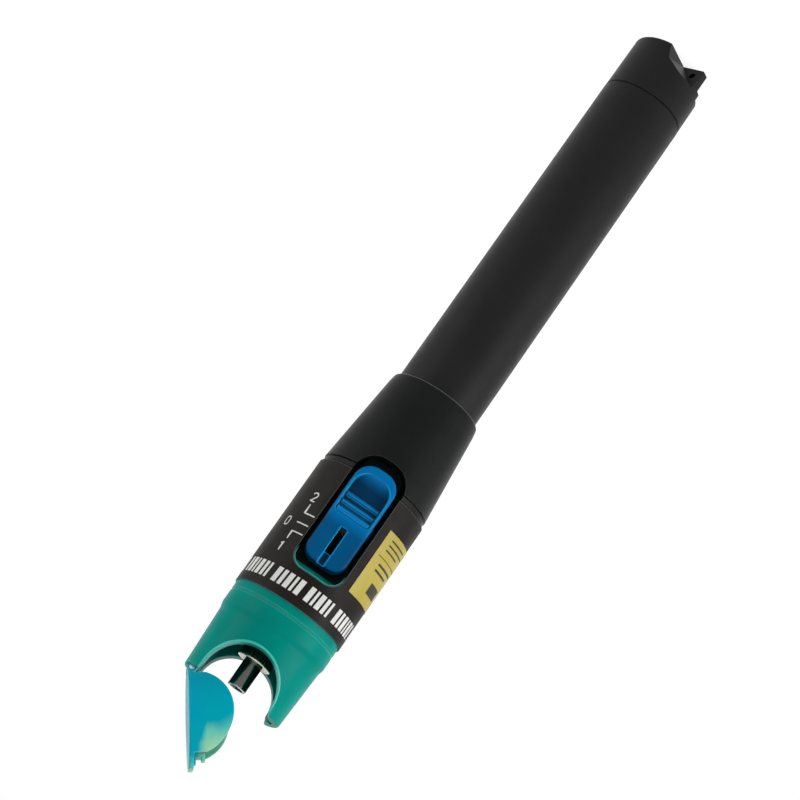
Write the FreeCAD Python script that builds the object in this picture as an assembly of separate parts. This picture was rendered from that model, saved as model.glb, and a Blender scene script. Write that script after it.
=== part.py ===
import FreeCAD, Part
import math
import os

# Visual fault locator: a pen-shaped laser tester for fibre links, in millimetres.
# The origin is the centre of the tail end, on which the pen stands. +Z runs along
# the pen to its head, the slide switch faces -Y, and the lid is hinged on the +X side.
# The head rests on the two battery cells, so heights of its pieces are measured
# from the front end of the front cell, and the finished pieces are moved up to it.

os.makedirs("parts", exist_ok=True)
Vector = FreeCAD.Vector
X_AXIS = Vector(1, 0, 0)
Y_AXIS = Vector(0, 1, 0)
Z_AXIS = Vector(0, 0, 1)

# ---------------------------------------------------------------- driving dimensions
# Fits between pieces
seat_gap = 0.05            # between a seated piece and the face that it rests on
running_gap = 0.05         # radial, a shaft or spigot that turns in its hole
slide_gap = 0.3            # between sliding plastic pieces
chamfer = 0.25             # broken edge of turned and moulded pieces

# Battery cells, size AA
cell_r = 7.25
cell_length = 50.5         # with its positive nub
cell_nub_r = 2.6
cell_nub_height = 1.0
cell_edge = 0.5
cell_play = 0.45           # radial, between a cell and the bore around it

# Battery tube
tube_wall = 2.15
tube_front_z = -1.4

# Tail cap, with heights from the tail end
cap_seam_z = 13.5          # where the tail cap meets the tube
cap_seam_step = 0.05       # how far the cap stands back from the tube at the seam
cap_taper = 0.1
cap_end_rounding = 0.4
cap_end_wall = 7.0         # solid length under the spring's cavity
cap_seam_gap = 0.1
cap_thread_length = 6.6    # spigot inside the tube
cap_thread_wall = 1.05
notch_turn = -2.2          # degrees about Z, where the screwed cap stops
notch_tip = (-2.45, -2.66)
notch_right_edge = (5.15, -6.34, 0)    # from the tip, along the end face
notch_left_edge = (-4.45, -4.04, 0)
notch_right_foot = (4.05, -6.91, 3.4)  # from the tip, where the notch is deepest
notch_left_foot = (-3.95, -4.63, 5.2)
lanyard_hole_r = 0.75
lanyard_hole_start = (-5.13, -5.54, 2.05)
lanyard_hole_heading = (-0.676, 0.737, 0)
side_flat_depth = 1.75     # flat beside the lanyard hole, in from the tube's side
side_flat_top = 4.4
side_step_depth = 0.95
side_step_top = 5.8

# Contacts of the battery
plate_play = 0.5           # radial
plate_thickness = 0.4
tail_spring_length = 7.05
tail_spring_turns = 4
tail_spring_margin = 2.0   # from the plate's edge to the middle of the wire
tail_spring_top_r = 3.2
spring_wire_r = 0.4
front_spring_length = 2.3
front_spring_turns = 2
front_spring_r = 2.4
front_wire_r = 0.25
coil_runs = 12             # straight runs of wire in a turn
wire_sides = 8             # faces around the wire
disc_margin = 1.25         # the contact disc's edge stands in from the tube's side
disc_thickness = 1.0

# Rear collar, a cone around the tube
collar_rear_z = -17.3
collar_rear_wall = 0.95
collar_rear_rounding = 0.7
collar_cone_rear_z = -15.2
collar_cone_rear_step = 0.22
collar_cone_front_z = 6.5
collar_cone_front_step = 0.025         # over the barrel under the label
collar_front_z = 8.1
collar_front_step = 0.145  # under the barrel
collar_groove_width = 0.45
collar_groove_depth = 0.35

# Front housing, one teal moulding
spigot_rear_z = -5.0
spigot_wall = 1.1
barrel_step = 1.925        # the barrel under the label stands out from the spigot
barrel_wall = 1.525
board_bore_margin = 0.45   # bore around the board's rear end, in from the disc's edge
barrel_bore_rear_z = 9.7
label_front_z = 39.7
band_step = 0.025
band_groove_z = 41.5
band_groove_width = 0.5
band_groove_depth = 0.22
band_front_z = 44.8
shoulder_step = 0.4        # from the band in to the nose
shoulder_length = 2.0
nose_taper = 0.63
nose_wall = 2.77
horn_top_z = 60.5
horn_edge = 0.35           # rounding at the hinge horn's tip
catch_horn_edge = 0.7
bulkhead_rear_z = 47.2
bulkhead_thickness = 2.0
saddle_side = 3.62         # from the nose's tip radius in to the U-shaped cut
saddle_rise = 1.35         # lowest point of the cut, above the bulkhead
saddle_flare = 0.6         # how far the horns lean away at their tips
boss_wall = 1.6            # ring behind the bulkhead that holds the laser
boss_length = 7.2

# Label and sticker
label_thickness = 0.3
sticker_thickness = 0.1
sticker_z = (14.3, 30.1)
sticker_arc = (37.0, 92.0)  # degrees from the switch side towards -X

# Switch recess
recess_half_width = 5.75
recess_rear_z = 2.9
recess_front_z = 32.0
recess_corner = 3.0
recess_rear_corner = 4.6
recess_depth = 2.925       # floor under the barrel's surface
recess_wall = 1.2
cutout_margin = 0.35       # label and collar stand back from the recess

# Switch knob, with heights from its middle
knob_side_gap = 0.85
knob_end_gap = 0.25        # left at each end of the travel
knob_rise = 1.375          # top of the knob over the barrel
knob_corner = 3.0
knob_edge = 0.7
knob_wall = 1.1
knob_roof = 2.3
knob_travel = 2.3          # each way from the middle position
dish_z = (-9.9, 0.8)
dish_depth = 1.5
dish_half_width = 4.3
dish_rear_corner = 3.4
dish_front_corner = 1.0
rib_z = (-3.9, -2.0, -0.2)
rib_half_length = 3.85
rib_r = 0.4
rib_rise = 0.15            # middle of a rib over the dish
ridge_z = 1.1              # thumb ridge between the dish and the front pads
pad_rear_z = 3.3
pad_drop = 0.7
window_z = (2.9, 9.1)
window_half_width = 0.8
window_groove_depth = 1.5  # groove in front of the window
clip_half_length = 1.5
clip_thickness = 0.8
clip_reach = 0.75          # hook under the recess floor
clip_hook_height = 0.65

# Circuit board and what it carries
board_drop = 4.8           # from the recess floor down to the board
board_thickness = 1.0
board_front_z = 34.1
board_screw_z = (8.0, 29.4)
screw_shank_r = 0.83
screw_hole_r = 1.05
screw_head_r = 1.8
screw_head_height = 1.2
screw_length = 4.0
screw_slot_half_width = 0.2
screw_slot_half_length = 1.2
screw_slot_depth = 0.5
post_r = 2.0
case_half_length = 6.0
case_half_width = 3.0
case_wall = 0.5
lever_half_width = 1.0
lever_half_length = 1.1
lever_top_gap = 0.4        # under the knob's roof
socket_wall = 1.0
slider_half_width = 2.2
slider_half_length = 1.5
pin_r = 0.3
chip_size = (4.0, 1.6, 5.0)
chip_z = 23.8
chip_leg_pitch = 1.27
chip_leg_half_width = 0.2
chip_leg_reach = 0.9
capacitor_r = 2.0
capacitor_height = 5.0
capacitor_place = (3.2, 13.0)
strip_half_width = 1.5
strip_thickness = 0.3
strip_margin = 1.0         # ground strip, in from the disc's edge
strip_front_z = 6.0

# Laser module
holder_r = 4.97
holder_length = 11.4
diode_flange_r = 2.8
diode_flange_thickness = 1.2
diode_can_r = 1.8
diode_can_length = 2.8
diode_lead_r = 0.225
diode_lead_circle_r = 1.27
diode_lead_length = 3.6
diode_seat_depth = 0.5
lens_r = 2.0
lens_seat_depth = 6.1
lens_edge = 1.2
lens_crown = 0.6
lens_crown_r = 1.6         # flat land outside the crown
lens_ring_length = 1.6

# Ferrule adapter
adapter_flange_r = 4.2
adapter_flange_thickness = 0.65
adapter_thread_r = 3.0
adapter_barrel_r = 2.15
ring_nut_height = 2.85
adapter_barrel_length = 6.4
adapter_lip = 0.7
adapter_lip_r = 1.42
adapter_rear_hole_r = 0.9
ferrule_r = 1.25
sleeve_wall = 0.33
sleeve_slit = 0.4
sleeve_length = 9.6
sleeve_play = 0.02
knurl_r = 4.0
knurl_count = 36
knurl_depth = 0.1
knurl_share = 0.7          # of the pitch that a flute takes

# Dust lid and its hinge
lid_opening = 54.0         # degrees, how far the lid stands open
lid_pivot_margin = 1.97    # from the nose's tip radius in to the hinge pin
lid_pivot_rise = 0.1
lid_thickness = 1.0
lid_margin = 0.17          # the lid's edge stands in from the nose's tip
lid_tab_margin = 0.79
lid_wall = 1.2
lid_edge = 0.25
lid_seat_gap = 0.12        # between the closed lid and the horns
lid_heel = 0.57            # plate's overhang behind the hinge pin
hinge_pin_r = 0.6
hinge_play = 0.13          # radial, around the turning knuckles
knuckle_inner = 2.2        # knuckles stand between these distances from the middle
knuckle_outer = 4.4
hinge_wing_margin = 0.9    # plate's edge beside the knuckles, in from the pin
hinge_side_gap = 0.2
apron_half_length = 8.1    # aprons along the plate, each way from its middle
apron_depth = 9.15
apron_corner = 3.6         # depth at which an apron's straight sides end
hook_thickness = 0.9
hook_gap = 1.72            # from the hook's arm to the catch wall
hook_barb_gap = 0.92
hook_block_gap = 0.32
hook_depth = 3.5
hook_barb_height = 0.8
hook_half_width = 1.5
hook_block_depth = 1.55
catch_half_width = 1.75
catch_margin = 1.52        # from the nose's tip radius in to the catch wall
catch_depth = 3.1
catch_lip = 0.7
catch_lip_drop = (1.35, 0.6)

# ---------------------------------------------------------------- worked-out places
# Tail and tube
bore_r = cell_r + cell_play
tube_r = bore_r + tube_wall
cap_seam_r = tube_r - cap_seam_step
cap_end_r = cap_seam_r - cap_taper
cap_thread_r = bore_r + cap_thread_wall
plate_r = bore_r - plate_play
plate_rear_z = cap_end_wall + seat_gap
tail_spring_r = plate_r - tail_spring_margin
tail_spring_rear_z = plate_rear_z + plate_thickness
cell_rear_z = tail_spring_rear_z + tail_spring_length
cells_front_z = cell_rear_z + 2 * cell_length

# Contacts and collar in the head
disc_r = tube_r - disc_margin
disc_rear_z = front_spring_length
disc_front_z = disc_rear_z + disc_thickness
strip_y = disc_r - strip_margin
tube_seat_z = tube_front_z + strip_thickness + 2 * seat_gap
tube_hole_r = tube_r + running_gap
spigot_r = tube_hole_r + spigot_wall
barrel_r = spigot_r + barrel_step
collar_rear_r = tube_r + collar_rear_wall
collar_cone_rear_r = collar_rear_r + collar_cone_rear_step
collar_cone_front_r = barrel_r + collar_cone_front_step
collar_front_r = barrel_r - collar_front_step

# Housing
barrel_bore_r = barrel_r - barrel_wall
board_bore_r = disc_r - board_bore_margin
label_rear_z = collar_front_z + 2 * seat_gap
label_r = barrel_r + label_thickness
band_r = barrel_r - band_step
nose_rear_r = band_r - shoulder_step
nose_tip_r = nose_rear_r - nose_taper
nose_cavity_r = nose_tip_r - nose_wall
bulkhead_front_z = bulkhead_rear_z + bulkhead_thickness
saddle_r = nose_tip_r - saddle_side
saddle_bottom_z = bulkhead_front_z + saddle_rise
saddle_centre_z = saddle_bottom_z + saddle_r
recess_floor_y = recess_depth - barrel_r
recess_inner_y = recess_floor_y + recess_wall

# Switch and board
knob_centre_z = (recess_rear_z + recess_front_z) / 2
knob_length = recess_front_z - recess_rear_z - 2 * (knob_travel + knob_end_gap)
knob_rear_z = knob_centre_z - knob_length / 2
knob_front_z = knob_centre_z + knob_length / 2
knob_half_width = recess_half_width - knob_side_gap
knob_inner_x = knob_half_width - knob_wall
knob_top_y = -barrel_r - knob_rise
knob_roof_y = knob_top_y + knob_roof
knob_bottom_y = recess_floor_y - slide_gap
lever_top_y = knob_roof_y + lever_top_gap
slot_half_length = lever_half_length + knob_travel + slide_gap
clip_slot_half_length = clip_half_length + knob_travel + slide_gap
board_top_y = recess_floor_y + board_drop
board_bottom_y = board_top_y + board_thickness
board_rear_z = disc_front_z + seat_gap
board_half_width = math.sqrt(board_bore_r ** 2 - board_top_y ** 2) - slide_gap

# Laser and adapter
adapter_rear_z = bulkhead_rear_z - seat_gap - adapter_flange_thickness
adapter_shoulder_z = bulkhead_front_z + seat_gap + ring_nut_height
adapter_front_z = adapter_shoulder_z + adapter_barrel_length
holder_front_z = adapter_rear_z - 2 * seat_gap
holder_rear_z = holder_front_z - holder_length
diode_seat_z = holder_rear_z + diode_seat_depth
diode_lead_bend_z = diode_seat_z - diode_lead_length
lens_seat_z = holder_rear_z + lens_seat_depth
sleeve_r = ferrule_r + sleeve_wall
sleeve_front_z = adapter_front_z - adapter_lip - seat_gap
sleeve_rear_z = sleeve_front_z - sleeve_length

# Lid, hinge and catch
lid_r = nose_tip_r - lid_margin
lid_tab_x = lid_tab_margin - nose_tip_r
lid_pivot_x = nose_tip_r - lid_pivot_margin
lid_pivot_z = horn_top_z + lid_pivot_rise
lid_under_z = horn_top_z + lid_seat_gap
lid_top_z = lid_under_z + lid_thickness
lid_heel_x = lid_pivot_x + lid_heel
hinge_wing_x = lid_pivot_x - hinge_wing_margin
knuckle_r = lid_top_z - lid_pivot_z
knuckle_clearance_r = math.hypot(lid_heel, knuckle_r) + hinge_play
catch_wall_x = catch_margin - nose_tip_r
catch_bottom_z = horn_top_z - catch_depth


# ---------------------------------------------------------------- shape helpers
def turned(outline):
    """Solid of revolution about Z from (radius, height) corners."""
    corners = [Vector(r, 0, z) for r, z in outline]
    wire = Part.makePolygon(corners + [corners[0]])
    return Part.Face(wire).revolve(Vector(0, 0, 0), Z_AXIS, 360)


def disc(r, z0, z1):
    return Part.makeCylinder(r, z1 - z0, Vector(0, 0, z0))


def ring(outer_r, inner_r, z0, z1):
    return turned([(inner_r, z0), (outer_r, z0), (outer_r, z1), (inner_r, z1)])


def rounding(r, z, rise, reach):
    """Outline corners of a rounded turned edge, from (r - reach, z) out to (r, z + rise)."""
    corners = []
    for step in range(4):
        angle = math.radians(30 * step)
        corners.append((r - reach * (1 - math.sin(angle)), z + rise * (1 - math.cos(angle))))
    return corners


def block(x, y, z):
    """Box between pairs of coordinates."""
    corner = Vector(min(x), min(y), min(z))
    return Part.makeBox(abs(x[1] - x[0]), abs(y[1] - y[0]), abs(z[1] - z[0]), corner)


def rod_along(axis, centre, r, start, end):
    """Cylinder along X or Y through centre, from start to end on that axis."""
    base = Vector(start, centre[0], centre[1]) if axis == X_AXIS else Vector(centre[0], start, centre[1])
    return Part.makeCylinder(r, end - start, base, axis)


def rounded_plate(half_width, z, y, rear_corner, front_corner):
    """Plate in the XZ plane with rounded corners, from y[0] to y[1]."""
    rear, front = z
    corners = [(-half_width, rear, rear_corner), (half_width, rear, rear_corner),
               (half_width, front, front_corner), (-half_width, front, front_corner)]
    edges = []
    last = None
    first = None
    for index, (x, height, corner) in enumerate(corners):
        before = corners[index - 1]
        after = corners[(index + 1) % 4]
        here = Vector(x, y[0], height)
        to_before = Vector(before[0] - x, 0, before[1] - height).normalize()
        to_after = Vector(after[0] - x, 0, after[1] - height).normalize()
        start = here + to_before * corner
        end = here + to_after * corner
        middle = here + (to_before + to_after) * corner * (1 - math.sqrt(0.5))
        if last is not None:
            edges.append(Part.makeLine(last, start))
        else:
            first = start
        edges.append(Part.Arc(start, middle, end).toShape())
        last = end
    edges.append(Part.makeLine(last, first))
    return Part.Face(Part.Wire(edges)).extrude(Vector(0, y[1] - y[0], 0))


def edges_where(shape, test):
    """Edges whose every end and middle point passes the test."""
    chosen = []
    for edge in shape.Edges:
        points = [vertex.Point for vertex in edge.Vertexes]
        points.append(edge.valueAt((edge.FirstParameter + edge.LastParameter) / 2))
        if all(test(point) for point in points):
            chosen.append(edge)
    return chosen


def bent_wire(points, wire_r):
    """Eight-sided wire in straight runs through the points."""
    heading = (points[1] - points[0]).normalize()
    outward = heading.cross(X_AXIS).normalize()
    upward = outward.cross(heading)
    corners = []
    for side in range(wire_sides):
        angle = 2 * math.pi * (side + 0.5) / wire_sides
        corners.append(points[0] + outward * wire_r * math.cos(angle) + upward * wire_r * math.sin(angle))
    section = Part.makePolygon(corners + [corners[0]])
    mitred = 1
    return Part.makePolygon(points).makePipeShell([section], True, False, mitred)


def coil(start_r, end_r, wire_r, turns, z0, z1):
    """Conical compression spring between two faces."""
    bottom = z0 + seat_gap + wire_r
    height = z1 - seat_gap - wire_r - bottom
    runs = round(turns * coil_runs)
    points = []
    for index in range(runs + 1):
        share = index / runs
        angle = 2 * math.pi * turns * share
        radius = start_r + (end_r - start_r) * share
        points.append(Vector(radius * math.cos(angle), radius * math.sin(angle), bottom + height * share))
    return bent_wire(points, wire_r)


# ---------------------------------------------------------------- battery end
def lanyard_notch():
    """Three-sided notch with its tip on the end face, opening towards the side."""
    tip = Vector(notch_tip[0], notch_tip[1], 0)
    right = tip + Vector(*notch_right_edge) * 2
    left = tip + Vector(*notch_left_edge) * 2
    right_low = tip + Vector(*notch_right_foot) * 2
    left_low = tip + Vector(*notch_left_foot) * 2
    below = Vector(0, 0, -1)
    faces = [[tip, right, right_low], [tip, right_low, left_low], [tip, left_low, left],
             [tip, left, left + below, tip + below], [tip, tip + below, right + below, right],
             [right, right + below, left + below, left], [right, left, right_low],
             [left, left_low, right_low], [tip + below, left + below, right + below]]
    shell = Part.Shell([Part.Face(Part.makePolygon(face + [face[0]])) for face in faces])
    notch = Part.Solid(shell)
    if notch.Volume < 0:
        notch.reverse()
    return notch


def lanyard_hole():
    """Hole from the notch's inner face to the side flat."""
    heading = Vector(*lanyard_hole_heading).normalize()
    start = Vector(*lanyard_hole_start) - heading * cap_end_r / 3
    return Part.makeCylinder(lanyard_hole_r, cap_end_r, start, heading)


def tail_cap():
    front = cap_seam_z - cap_seam_gap
    outline = [(0, 0)] + rounding(cap_end_r, 0, cap_end_rounding, cap_end_rounding)
    outline += [(cap_seam_r, front - chamfer), (cap_seam_r - chamfer, front),
                (cap_thread_r, front), (cap_thread_r, front + cap_thread_length - chamfer),
                (cap_thread_r - chamfer, front + cap_thread_length), (bore_r, front + cap_thread_length),
                (bore_r, cap_end_wall), (0, cap_end_wall)]
    body = turned(outline)
    far = 2 * tube_r
    body = body.cut(block((-far, side_flat_depth - tube_r), (-far, far), (-1, side_flat_top)))
    body = body.cut(block((-far, side_step_depth - tube_r), (-far, far), (-1, side_step_top)))
    body = body.cut(lanyard_notch()).cut(lanyard_hole())
    body.rotate(Vector(0, 0, 0), Z_AXIS, notch_turn)
    return body


def tail_spring_plate():
    return disc(plate_r, plate_rear_z, plate_rear_z + plate_thickness)


def tail_spring():
    return coil(tail_spring_r, tail_spring_top_r, spring_wire_r, tail_spring_turns,
                tail_spring_rear_z, cell_rear_z)


def cell(rear_z):
    can_front = rear_z + cell_length - cell_nub_height
    return turned([(0, rear_z), (cell_r - cell_edge, rear_z), (cell_r, rear_z + cell_edge),
                   (cell_r, can_front - cell_edge), (cell_r - cell_edge, can_front),
                   (cell_nub_r, can_front), (cell_nub_r, rear_z + cell_length), (0, rear_z + cell_length)])


def rear_cell():
    return cell(cell_rear_z)


def front_cell():
    return cell(cell_rear_z + cell_length)


def battery_tube():
    counterbore_r = cap_thread_r + running_gap
    counterbore_z = cap_seam_z + cap_thread_length + slide_gap
    front = cells_front_z + tube_front_z
    return turned([(counterbore_r, cap_seam_z), (tube_r - chamfer, cap_seam_z),
                   (tube_r, cap_seam_z + chamfer), (tube_r, front - chamfer),
                   (tube_r - chamfer, front), (bore_r, front),
                   (bore_r, counterbore_z), (counterbore_r, counterbore_z)])


def front_contact_spring():
    return coil(front_spring_r, front_spring_r, front_wire_r, front_spring_turns, 0, disc_rear_z)


def contact_disc():
    board = disc(disc_r, disc_rear_z, disc_front_z)
    strip_notch = block((-strip_half_width - slide_gap, strip_half_width + slide_gap),
                        (strip_y - slide_gap, 2 * disc_r), (disc_rear_z - 1, disc_front_z + 1))
    return board.cut(strip_notch)


def ground_strip():
    """Bent strip from the tube's front face, past the contact disc, up to the board."""
    width = (-strip_half_width, strip_half_width)
    foot_rear = tube_front_z + seat_gap
    foot = block(width, (strip_y, tube_r - 2 * chamfer), (foot_rear, foot_rear + strip_thickness))
    leg = block(width, (strip_y, strip_y + strip_thickness), (foot_rear, strip_front_z))
    riser = block(width, (board_bottom_y + seat_gap, strip_y + strip_thickness),
                  (strip_front_z - strip_thickness, strip_front_z))
    return foot.fuse([leg, riser]).removeSplitter()


# ---------------------------------------------------------------- collar and housing
def recess(half_width, margin, y):
    """Room of the switch recess, widened by a margin, between two depths."""
    return rounded_plate(half_width + margin, (recess_rear_z - margin, recess_front_z + margin), y,
                         recess_rear_corner + margin, recess_corner + margin)


def rear_collar():
    spigot_hole_r = spigot_r + running_gap
    groove_rear = collar_cone_front_z
    groove_front = groove_rear + collar_groove_width
    outline = [(tube_hole_r, collar_rear_z)]
    outline += rounding(collar_rear_r, collar_rear_z, collar_rear_rounding, collar_rear_rounding)
    outline += [(collar_cone_rear_r, collar_cone_rear_z), (collar_cone_front_r, groove_rear),
                (collar_front_r - collar_groove_depth, groove_rear + chamfer),
                (collar_front_r, groove_front), (collar_front_r, collar_front_z - chamfer),
                (collar_front_r - chamfer, collar_front_z), (spigot_hole_r, collar_front_z),
                (spigot_hole_r, spigot_rear_z - seat_gap), (tube_hole_r, spigot_rear_z - seat_gap)]
    cutout = recess(recess_half_width, cutout_margin, (-2 * barrel_r, recess_inner_y))
    return turned(outline).cut(cutout)


def housing_outline():
    """Outside of the moulding as a solid: spigot, barrel, band, soft shoulder and nose."""
    groove_r = band_r - band_groove_depth
    groove_front = band_groove_z + band_groove_width
    outline = [(0, spigot_rear_z), (spigot_r - chamfer, spigot_rear_z),
               (spigot_r, spigot_rear_z + chamfer), (spigot_r, collar_front_z + seat_gap),
               (barrel_r, collar_front_z + seat_gap), (barrel_r, label_front_z), (band_r, label_front_z),
               (band_r, band_groove_z), (groove_r, band_groove_z + band_groove_depth),
               (groove_r, groove_front), (band_r, groove_front + band_groove_depth)]
    for step in range(7):
        share = step / 6
        drop = (1 - math.cos(math.pi * share)) / 2
        outline.append((band_r - shoulder_step * drop, band_front_z + shoulder_length * share))
    return turned(outline + [(nose_tip_r, horn_top_z), (0, horn_top_z)])


def housing_bore():
    """Stepped bore from the tube's seat to the bulkhead, and the nose cavity."""
    disc_hole_r = disc_r + 2 * running_gap
    rear = turned([(0, spigot_rear_z - 1), (tube_hole_r, spigot_rear_z - 1), (tube_hole_r, tube_seat_z),
                   (disc_hole_r, tube_seat_z), (disc_hole_r, disc_front_z + seat_gap),
                   (board_bore_r, disc_front_z + seat_gap),
                   (board_bore_r, barrel_bore_rear_z - (barrel_bore_r - board_bore_r) / 2),
                   (barrel_bore_r, barrel_bore_rear_z), (barrel_bore_r, bulkhead_rear_z), (0, bulkhead_rear_z)])
    nose = disc(nose_cavity_r, bulkhead_front_z, horn_top_z + 1)
    return rear.fuse(nose)


def saddle_cut():
    """U across the nose along Y, with its sides leaning out at the horn tips."""
    top = horn_top_z + 1
    flare = saddle_r + saddle_flare * (top - saddle_centre_z) / (horn_top_z - saddle_centre_z)
    start = -2 * nose_rear_r
    left = Vector(-saddle_r, start, saddle_centre_z)
    right = Vector(saddle_r, start, saddle_centre_z)
    bottom = Vector(0, start, saddle_bottom_z)
    top_left = Vector(-flare, start, top)
    top_right = Vector(flare, start, top)
    edges = [Part.Arc(left, bottom, right).toShape(), Part.makeLine(right, top_right),
             Part.makeLine(top_right, top_left), Part.makeLine(top_left, left)]
    return Part.Face(Part.Wire(edges)).extrude(Vector(0, 4 * nose_rear_r, 0))


def recess_tray():
    """Floor and walls of the recess inside the moulding."""
    tray = recess(recess_half_width, recess_wall, (-2 * barrel_r, recess_inner_y))
    return tray.common(housing_outline())


def lever_and_clip_slots():
    """Openings in the recess floor for the switch lever and the knob's two clips."""
    depth = (recess_floor_y - 1, recess_inner_y + 1)
    lever_width = lever_half_width + slide_gap
    middle = block((-lever_width, lever_width), depth,
                   (knob_centre_z - slot_half_length, knob_centre_z + slot_half_length))
    slots = [middle]
    for side in (-1, 1):
        inner = side * (knob_half_width - clip_thickness - slide_gap)
        outer = side * (knob_half_width + slide_gap)
        slots.append(block((inner, outer), depth,
                           (knob_centre_z - clip_slot_half_length, knob_centre_z + clip_slot_half_length)))
    return slots


def board_posts():
    """Posts under the recess floor that the board is screwed to, and their pilot holes."""
    posts = []
    pilots = []
    overlap = recess_wall / 4
    for z in board_screw_z:
        posts.append(rod_along(Y_AXIS, (0, z), post_r, recess_inner_y - overlap, board_top_y - seat_gap))
        pilot_end = board_bottom_y - screw_length - slide_gap
        pilots.append(rod_along(Y_AXIS, (0, z), screw_shank_r, pilot_end, board_top_y))
    return posts, pilots


def hinge_horn():
    """Trough for the lid's knuckles, and the lug between them with its pin hole."""
    pivot = (lid_pivot_x, lid_pivot_z)
    reach = knuckle_outer + hinge_side_gap
    trough = rod_along(Y_AXIS, pivot, knuckle_clearance_r, -reach, reach)
    lug_half = knuckle_inner - hinge_side_gap
    lug = rod_along(Y_AXIS, pivot, knuckle_r - seat_gap, -lug_half, lug_half)
    foot = block((nose_cavity_r - 2 * seat_gap, lid_pivot_x + knuckle_r), (-lug_half, lug_half),
                 (lid_pivot_z - 2 * knuckle_r, lid_pivot_z))
    pin_hole = rod_along(Y_AXIS, pivot, hinge_pin_r, -reach, reach)
    return trough, lug.fuse(foot), pin_hole


def catch_slot():
    """Slot in the other horn that takes the lid's hook, with a lip on its outer wall."""
    width = (-catch_half_width, catch_half_width)
    slot = block((-saddle_r, catch_wall_x), width, (catch_bottom_z, horn_top_z + 1))
    lip = block((catch_wall_x + catch_lip, catch_wall_x), width,
                (horn_top_z - catch_lip_drop[0], horn_top_z - catch_lip_drop[1]))
    return slot.cut(lip)


def front_housing():
    body = housing_outline().cut(housing_bore())
    boss_r = holder_r + boss_wall
    laser_boss = ring(boss_r, holder_r + seat_gap / 2, bulkhead_rear_z - boss_length, bulkhead_rear_z)
    body = body.fuse([recess_tray(), laser_boss])
    body = body.cut(recess(recess_half_width, 0, (-2 * barrel_r, recess_floor_y)))
    posts, pilots = board_posts()
    body = body.fuse(posts)
    trough, lug, pin_hole = hinge_horn()
    adapter_hole = disc(adapter_thread_r + running_gap, bulkhead_rear_z - 1, bulkhead_front_z + 1)
    body = body.cut([saddle_cut(), trough])
    rim = nose_tip_r - seat_gap
    hinge_top = edges_where(body, lambda p: p.z > horn_top_z - 0.01 and p.x > 0 and math.hypot(p.x, p.y) > rim)
    body = body.makeFillet(horn_edge, hinge_top)
    catch_top = edges_where(body, lambda p: p.z > horn_top_z - 0.01 and p.x < 0)
    body = body.makeFillet(catch_horn_edge, catch_top)
    body = body.cut(pilots + [adapter_hole, catch_slot()] + lever_and_clip_slots())
    body = body.fuse(lug).cut(pin_hole)
    return body.removeSplitter()


def label_wrap():
    wrap = ring(label_r, barrel_r, label_rear_z, label_front_z)
    behind = label_rear_z - 2 * recess_corner
    cutout = rounded_plate(recess_half_width + cutout_margin, (behind, recess_front_z + cutout_margin),
                           (-2 * label_r, 0), recess_corner, recess_corner + cutout_margin)
    return wrap.cut(cutout)


def side_sticker():
    """Sticker on the label, a stretch of thin ring."""
    start, end = sticker_arc
    strip = Part.makeCylinder(label_r + sticker_thickness, sticker_z[1] - sticker_z[0],
                              Vector(0, 0, sticker_z[0]), Z_AXIS, end - start)
    strip = strip.cut(disc(label_r, sticker_z[0] - 1, sticker_z[1] + 1))
    strip.rotate(Vector(0, 0, 0), Z_AXIS, -90 - end)
    return strip


# ---------------------------------------------------------------- switch
def on_knob(heights):
    """Heights in the knob, moved up to where the knob sits."""
    return tuple(knob_centre_z + height for height in heights)


def dish_radius():
    half = (dish_z[1] - dish_z[0]) / 2
    return (half ** 2 + dish_depth ** 2) / (2 * dish_depth)


def dish_surface_y(height):
    """Depth of the thumb dish at a height in the knob."""
    middle = (dish_z[0] + dish_z[1]) / 2
    radius = dish_radius()
    return knob_top_y + dish_depth - radius + math.sqrt(radius ** 2 - (height - middle) ** 2)


def knob_pads():
    """What is cut away above the two front pads, behind the thumb ridge."""
    pad_y = knob_top_y + pad_drop
    above = knob_top_y - 1
    ridge, pad_rear = on_knob((ridge_z, pad_rear_z))
    far = knob_front_z + 1
    start = -recess_half_width
    profile = [Vector(start, above, ridge), Vector(start, knob_top_y, ridge),
               Vector(start, pad_y, pad_rear), Vector(start, pad_y, far), Vector(start, above, far)]
    return Part.Face(Part.makePolygon(profile + [profile[0]])).extrude(Vector(2 * recess_half_width, 0, 0))


def knob_top_cuts():
    """Thumb dish, window and the groove in front of it."""
    rear, front = on_knob(dish_z)
    radius = dish_radius()
    dish = rod_along(X_AXIS, (knob_top_y + dish_depth - radius, (rear + front) / 2), radius,
                     -recess_half_width, recess_half_width)
    dish = dish.common(rounded_plate(dish_half_width, (rear, front), (knob_top_y - 1, knob_roof_y),
                                     dish_rear_corner, dish_front_corner))
    width = (-window_half_width, window_half_width)
    window_rear, window_front = on_knob(window_z)
    window = block(width, (knob_top_y - 1, knob_roof_y + 1), (window_rear, window_front))
    groove_floor = knob_top_y + window_groove_depth
    groove = block(width, (knob_top_y - 1, groove_floor), (window_rear, knob_front_z + 1))
    return [dish, window, groove]


def knob_ribs():
    ribs = []
    for height in rib_z:
        centre = (dish_surface_y(height) - rib_rise, knob_centre_z + height)
        ribs.append(rod_along(X_AXIS, centre, rib_r, -rib_half_length, rib_half_length))
    return ribs


def knob_clips():
    """Two legs through the recess floor, hooked under it."""
    z = on_knob((-clip_half_length, clip_half_length))
    hook_top = recess_inner_y + slide_gap / 2
    clips = []
    for side in (-1, 1):
        inner = side * (knob_half_width - clip_thickness)
        outer = side * knob_half_width
        leg = block((inner, outer), (knob_bottom_y - 1, hook_top + clip_hook_height), z)
        hook = block((inner, outer + side * clip_reach), (hook_top, hook_top + clip_hook_height), z)
        clips.append(leg.fuse(hook))
    return clips


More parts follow.
